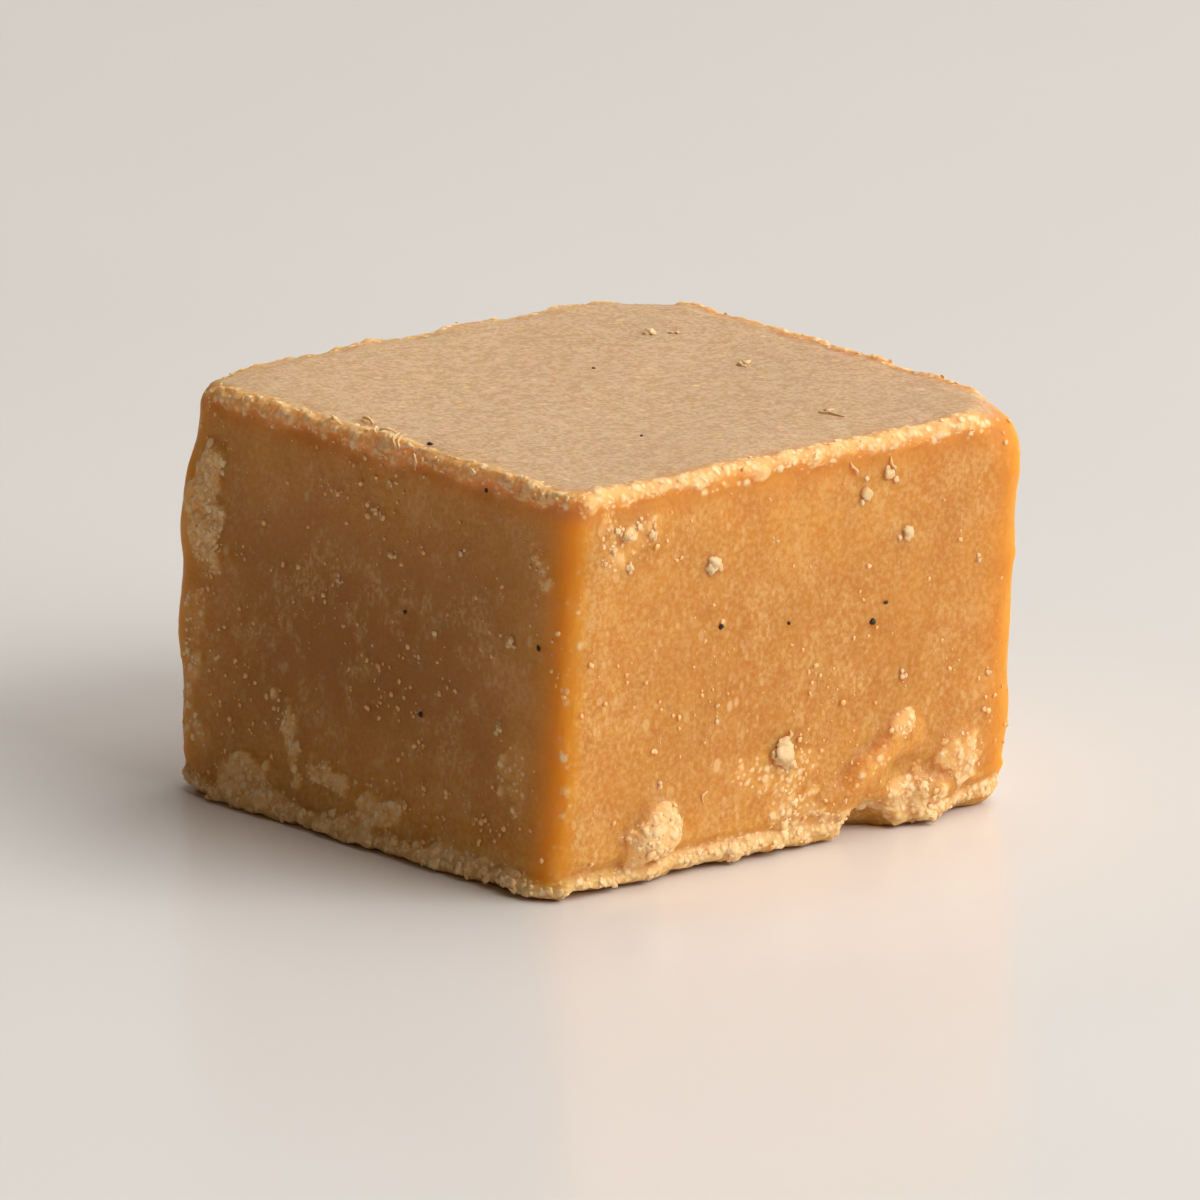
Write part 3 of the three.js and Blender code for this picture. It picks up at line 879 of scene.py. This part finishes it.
def makeFlecks(skin, finish):   # sugar in clusters, where slow and quick noise add up to a high value
    noise = 0.7 * softNoise(skin["points"], 2.4, 51) + 0.5 * softNoise(skin["points"], 0.9, 52)
    inFront = smoothStep(*tones["facesFront"], -skin["normals"][:, 1])
    weight = (faceFlecks["apart"] + smoothStep(-0.1, 0.6, noise)) * (1 + faceFlecks["moreInFront"] * inFront)
    scatter("face_flecks", skin, weight * smoothStep(0.6, 0.9, skin["sideways"]), faceFlecks, finish)


patchGrains = {
    "seed": 43, "sizes": (0.14, 0.34), "shape": {"lines": 3, "flat": 0.5},
    "larger": 1.2,        # how much larger the largest gets for each unit that its patch is proud
    "within": 0.85,       # of the patch's radius
}


def makePatchGrains(skin, finish):   # each patch's own count of grains, crowded about its line
    chance = np.random.default_rng(patchGrains["seed"])
    low, high = patchGrains["sizes"]
    points, faces, start = [], [], 0
    for begin, end, radius, _, proud, count in patches.values():
        near = nearPatch(skin["points"], begin, end, radius * patchGrains["within"])
        places, normals = pick(skin, near ** 1.5, count, chance)
        sizes = unevenSizes((low, high + patchGrains["larger"] * proud), count, chance)
        more, moreFaces = makeCrumbs(places, normals, sizes, chance, **patchGrains["shape"])
        points.append(more)
        faces.append(moreFaces + start)
        start += len(more)
    piece = makePiece("patch_grains", np.concatenate(points), np.concatenate(faces), finish)
    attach(piece, "root")


# Larger crumbs stuck to the faces: where, and how large.
stuckCrumbs = [
    ((12.0, -1.05, 4.25), 1.05), ((12.1, -0.6, 3.8), 0.4), ((12.2, -4.7, 12.4), 0.62),
    ((12.3, 4.1, 14.6), 0.5), ((12.3, 3.0, 13.9), 0.52), ((12.4, 5.1, 12.1), 0.6),
    ((12.1, -9.5, 14.5), 0.36), ((12.1, -9.0, 14.2), 0.42), ((12.1, -8.5, 14.6), 0.34),
    ((12.1, -7.8, 14.2), 0.4), ((12.0, -9.6, 13.8), 0.3), ((12.1, -8.7, 13.0), 0.36),
    ((12.1, -10.0, 13.4), 0.28), ((12.0, -4.4, 6.8), 0.24), ((12.0, -4.4, 6.2), 0.28),
    ((11.8, -7.0, 4.0), 0.3), ((12.3, -1.6, 12.8), 0.26), ((12.3, 9.4, 5.7), 0.26),
    ((12.2, 5.0, 6.2), 0.3), ((12.4, 8.8, 10.4), 0.28), ((0.1, -11.4, 13.2), 0.26),
    ((1.1, -11.5, 11.8), 0.34), ((-1.9, -11.6, 10.2), 0.28), ((3.9, -11.6, 9.3), 0.3),
    ((8.5, -11.6, 9.8), 0.38), ((7.8, -11.8, 6.4), 0.34), ((5.2, -11.5, 12.7), 0.28),
    ((2.9, -11.7, 8.0), 0.26), ((0.4, 7.1, 16.1), 0.5), ((-5.6, 7.5, 16.2), 0.46),
    ((-5.1, 8.4, 16.2), 0.3), ((8.1, 4.7, 16.1), 0.34), ((3.4, 11.9, 9.8), 0.5),
    ((-6.6, 12.2, 5.4), 0.62), ((-1.0, 12.1, 13.0), 0.4), ((6.6, 11.6, 6.6), 0.36),
    ((-12.3, -6.0, 11.6), 0.5), ((-12.3, 0.6, 4.6), 0.56), ((-12.2, 7.8, 12.4), 0.42),
    ((-12.3, -1.4, 8.2), 0.34),
]

stuckShape = {"lines": 4, "flat": 0.6, "sunk": 0.2, "blocky": 0.45}
stuckCluster = {   # in shares of the crumb's size, apart from how many there are
    "crowd": 5,
    "spread": 0.34,
    "largest": 0.9,
    "others": (0.3, 0.7),
}


def makeStuckCrumbs(skin, finish):   # each a cluster: one large crumb in the middle and smaller ones about it
    chance = np.random.default_rng(44)
    places = np.array([place for place, size in stuckCrumbs])
    sizes = np.array([size for place, size in stuckCrumbs])
    crowd, count = stuckCluster["crowd"], len(places)
    around = chance.normal(size=(crowd, count, 3)) * stuckCluster["spread"] * sizes[:, None]
    around[0] = 0
    others = chance.uniform(*stuckCluster["others"], (crowd - 1, count))
    shares = np.concatenate([np.full((1, count), stuckCluster["largest"]), others])
    places, normals = nearest(skin, (places + around).reshape(-1, 3))
    points, faces = makeCrumbs(places, normals, (sizes * shares).ravel(), chance, **stuckShape)
    piece = makePiece("stuck_crumbs", points, faces, finish)
    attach(piece, "root")


# Thin shavings: the middle, the way along, length, thickness, and how high the middle arches.
shavings = [
    ((-2.1, -10.0, 16.2), (0.9, -0.3, 0.0), 0.9, 0.13, 0.2),
    ((0.2, -10.9, 16.1), (0.9, 0.4, 0.1), 0.8, 0.12, 0.22),
    ((0.7, -11.0, 16.0), (0.5, -0.6, -0.5), 0.9, 0.12, 0.2),
    ((1.2, -10.9, 16.1), (0.3, -0.7, -0.5), 0.8, 0.12, 0.18),
    ((1.6, -11.0, 16.0), (0.9, 0.2, 0.0), 0.7, 0.11, 0.2),
    ((0.3, -11.2, 15.6), (0.8, 0.0, -0.3), 0.8, 0.12, 0.12),
    ((2.4, -11.2, 15.6), (0.1, 0.0, -1.0), 0.7, 0.11, 0.1),
    ((2.7, -11.2, 15.7), (0.8, 0.0, -0.5), 0.5, 0.1, 0.1),
    ((-0.6, -10.8, 16.1), (0.7, -0.5, 0.0), 0.7, 0.12, 0.16),
    ((12.3, 2.3, 15.1), (0.0, 0.5, -0.9), 0.7, 0.12, 0.1),
    ((12.3, 4.2, 15.0), (0.0, 0.3, -1.0), 0.6, 0.12, 0.12),
    ((12.1, -0.8, 4.95), (0.2, 0.4, 0.9), 0.6, 0.13, 0.12),
    ((12.0, -5.0, 3.2), (0.0, 0.4, 0.9), 0.5, 0.1, 0.06),
    ((8.6, 4.5, 16.15), (0.9, 0.3, 0.0), 1.2, 0.1, 0.04),
    ((3.0, 11.9, 16.0), (0.9, 0.2, 0.0), 0.9, 0.12, 0.15),
    ((-12.2, 4.0, 15.8), (0.1, 0.9, -0.2), 0.9, 0.12, 0.15),
]

shavingShape = {
    "lines": (14, 2, 2),
    "bend": 0.15,         # sideways, in shares of the length
    "wander": 0.06,
    "waver": 0.25,        # how much the thickness varies
    "tip": 0.12,          # the square of the ends' thickness, where the middle's is 1
    "archShare": 0.6,
    "clear": 0.2,         # how far it lies off the skin, in shares of its thickness
}


def makeShavings(skin, finish):
    # A cube's skin drawn out: its X runs along an arch over the face, its Y and Z become a round section that
    # thins towards both ends.
    chance = np.random.default_rng(46)
    cube, faces = cubeSkin(shavingShape["lines"])
    t = cube[:, 0]
    across = np.hypot(cube[:, 1], cube[:, 2])
    ring = cube[:, 1:] * (np.abs(cube[:, 1:]).max(axis=1) / np.maximum(across, 1e-9))[:, None]
    taper = np.sqrt(np.maximum(shavingShape["tip"], 1 - t ** 4))
    points, joined = [], []
    seats, normals = nearest(skin, [shaving[0] for shaving in shavings])
    for k, (_, way, length, thickness, arch) in enumerate(shavings):
        out = normals[k]
        way = np.array(way) - np.dot(way, out) * out
        way /= np.linalg.norm(way)
        side = np.cross(out, way)
        bend = chance.uniform(-shavingShape["bend"], shavingShape["bend"])
        wander = shavingShape["wander"] * np.sin(3.1 * t + chance.uniform(0, 6))
        waver = 1 + shavingShape["waver"] * np.sin(7 * t + chance.uniform(0, 6))
        lift = shavingShape["archShare"] * arch * (1 - t ** 2) + shavingShape["clear"] * thickness
        spine = seats[k] + np.outer(t * length / 2, way) + np.outer(bend * length * t ** 2 + wander, side)
        spine += np.outer(lift, out)
        uneven = thickness / 2 * taper * waver
        points.append(spine + (ring[:, :1] * side + ring[:, 1:] * out) * uneven[:, None])
        joined.append(faces + k * len(cube))
    piece = makePiece("shavings", np.concatenate(points), np.concatenate(joined), finish)
    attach(piece, "root")


# Vanilla seeds: where, and how large.
seeds = [
    ((12.1, -4.25, 9.85), 0.22), ((12.2, -0.85, 9.45), 0.2), ((12.4, 3.95, 9.45), 0.2),
    ((12.3, 3.35, 8.7), 0.25), ((1.95, -11.6, 9.75), 0.21), ((10.05, -11.6, 9.95), 0.25),
    ((3.15, -11.8, 5.8), 0.24), ((6.55, -11.3, 15.4), 0.2), ((2.15, -10.4, 16.15), 0.26),
    ((-3.0, 2.2, 16.1), 0.14), ((6.4, -3.4, 16.1), 0.12), ((-12.3, -5.0, 8.9), 0.22),
    ((-12.3, 2.0, 12.1), 0.2), ((-12.3, 6.2, 4.8), 0.24), ((-4.1, 12.2, 7.2), 0.22),
    ((5.2, 11.8, 11.4), 0.2), ((0.6, 12.1, 5.6), 0.24), ((8.4, 11.5, 8.3), 0.2),
]


def makeSeeds(skin, finish):   # small uneven balls, partly sunk
    chance = np.random.default_rng(47)
    places, normals = nearest(skin, [place for place, size in seeds])
    sizes = np.array([size for place, size in seeds])
    points, faces = makeCrumbs(places, normals, sizes, chance, lines=3, flat=0.8, sunk=0.3, blocky=0.0)
    piece = makePiece("vanilla_seeds", points, faces, finish)
    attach(piece, "root")


print("making the finishes")
butterFudge = fudgeFinish()
paleCrumb = crumbFinish("pale_crumb", colour(255, 224, 170), colour(252, 202, 138))
creamCrumb = crumbFinish("cream_crumb", colour(240, 208, 160), colour(234, 188, 128))
dustyCrumb = crumbFinish("dusty_crumb", colour(252, 206, 142), colour(242, 180, 104))

print("making the block")
skin = makeBlock(butterFudge)

print("making the crumbs and seeds")
makeRimGrains(skin, paleCrumb)
makeFootGrains(skin, paleCrumb)
makePatchGrains(skin, paleCrumb)
makeStuckCrumbs(skin, creamCrumb)
makeFlecks(skin, dustyCrumb)
makeShavings(skin, creamCrumb)
makeSeeds(skin, seedFinish())


tableTop = {
    "reach": 6.0,              # in metres
    "pale": colour(233, 231, 229),
    "dark": colour(229, 227, 224),
    "cloudSpacing": 30.0,      # in millimetres
    "roughness": 0.22,
    "bending": 1.3,            # the glaze's index of refraction
}


def makeTable():   # one flat face, far wider than the view
    reach = tableTop["reach"]
    mesh = bpy.data.meshes.new("table")
    corners = [(-reach, -reach, 0), (reach, -reach, 0), (reach, reach, 0), (-reach, reach, 0)]
    mesh.from_pydata(corners, [], [(0, 1, 2, 3)])
    table = bpy.data.objects.new("table", mesh)
    bpy.context.collection.objects.link(table)
    material = bpy.data.materials.new("glazed_table")
    f = Finish(material)
    base = f.mix(f.noise(f.place(), tableTop["cloudSpacing"], 2.0), tableTop["dark"], tableTop["pale"])
    values = {"Base Color": base, "Roughness": tableTop["roughness"], "IOR": tableTop["bending"]}
    f.surface(f.node("ShaderNodeBsdfPrincipled", {}, values))
    mesh.materials.append(material)


def towards(azimuth, elevation):   # a unit vector; azimuth 0 is -Y, 90 is +X
    a, e = math.radians(azimuth), math.radians(elevation)
    return Vector((math.sin(a) * math.cos(e), -math.cos(a) * math.cos(e), math.sin(e)))


lamps = {   # azimuth, elevation, distance, width, height, power and colour
    "key": (116, 36, 0.8, 0.6, 0.45, 4.9, (1.0, 0.98, 0.95)),
    "fill": (10, 40, 0.9, 0.7, 0.5, 0.165, (1.0, 0.73, 0.47)),
    "overhead": (180, 70, 0.8, 0.7, 0.7, 2.5, (1.0, 0.97, 0.94)),
}


def makeLamps(target):   # flat lamps turned to the block, which the camera doesn't see
    for name, (azimuth, elevation, distance, width, height, power, tint) in lamps.items():
        light = bpy.data.lights.new(name, "AREA")
        light.shape = "RECTANGLE"
        light.size = width
        light.size_y = height
        light.energy = power
        light.color = tint
        lamp = bpy.data.objects.new(name, light)
        bpy.context.collection.objects.link(lamp)
        lamp.location = target + towards(azimuth, elevation) * distance
        lamp.rotation_euler = (target - lamp.location).to_track_quat("-Z", "Y").to_euler()
        lamp.visible_camera = False


room = {
    "seen": colour(240, 238, 235),
    "dim": (0.055, 0.039, 0.025, 1.0),
    "bright": (0.78, 0.74, 0.69, 1.0),
    "brightWay": (160, 18),
    "turnsFrom": 0.1,
    "turnsTo": 0.75,
}


def makeRoom():   # dim before the block and bright behind it; the camera itself sees one pale tone
    world = bpy.data.worlds.new("studio")
    bpy.context.scene.world = world
    f = Finish(world)
    way = f.node("ShaderNodeTexCoord", {}, {}, output="Generated")
    bright = tuple(towards(*room["brightWay"]))
    share = f.node("ShaderNodeVectorMath", {"operation": "DOT_PRODUCT"}, {0: way, 1: bright}, output="Value")
    tone = f.mix(f.ramp(share, room["turnsFrom"], room["turnsTo"]), room["dim"], room["bright"])
    seen = f.node("ShaderNodeLightPath", {}, {}, output="Is Camera Ray")
    tone = f.mix(seen, tone, room["seen"])
    background = f.node("ShaderNodeBackground", {}, {"Color": tone, "Strength": 1.0})
    f.node("ShaderNodeOutputWorld", {}, {"Surface": background})


view = {"azimuth": 49.55, "elevation": 15.04, "distance": 0.6, "lens": 460, "lift": -0.4 * mm}


def makeCamera(target):   # looks at the block's middle, a little lower or higher by the lift
    lens = bpy.data.cameras.new("camera")
    lens.lens = view["lens"]
    lens.clip_start = 0.01
    lens.clip_end = 30
    camera = bpy.data.objects.new("camera", lens)
    bpy.context.collection.objects.link(camera)
    aim = target + Vector((0, 0, view["lift"]))
    camera.location = aim + towards(view["azimuth"], view["elevation"]) * view["distance"]
    camera.rotation_mode = "QUATERNION"
    camera.rotation_quaternion = (aim - camera.location).to_track_quat("-Z", "Y")
    bpy.context.scene.camera = camera


print("making the table, the light and the camera")
middle = (cadLow + cadHigh) / 2
makeTable()
makeLamps(middle)
makeRoom()
makeCamera(middle)
bpy.context.scene.view_settings.view_transform = "Standard"
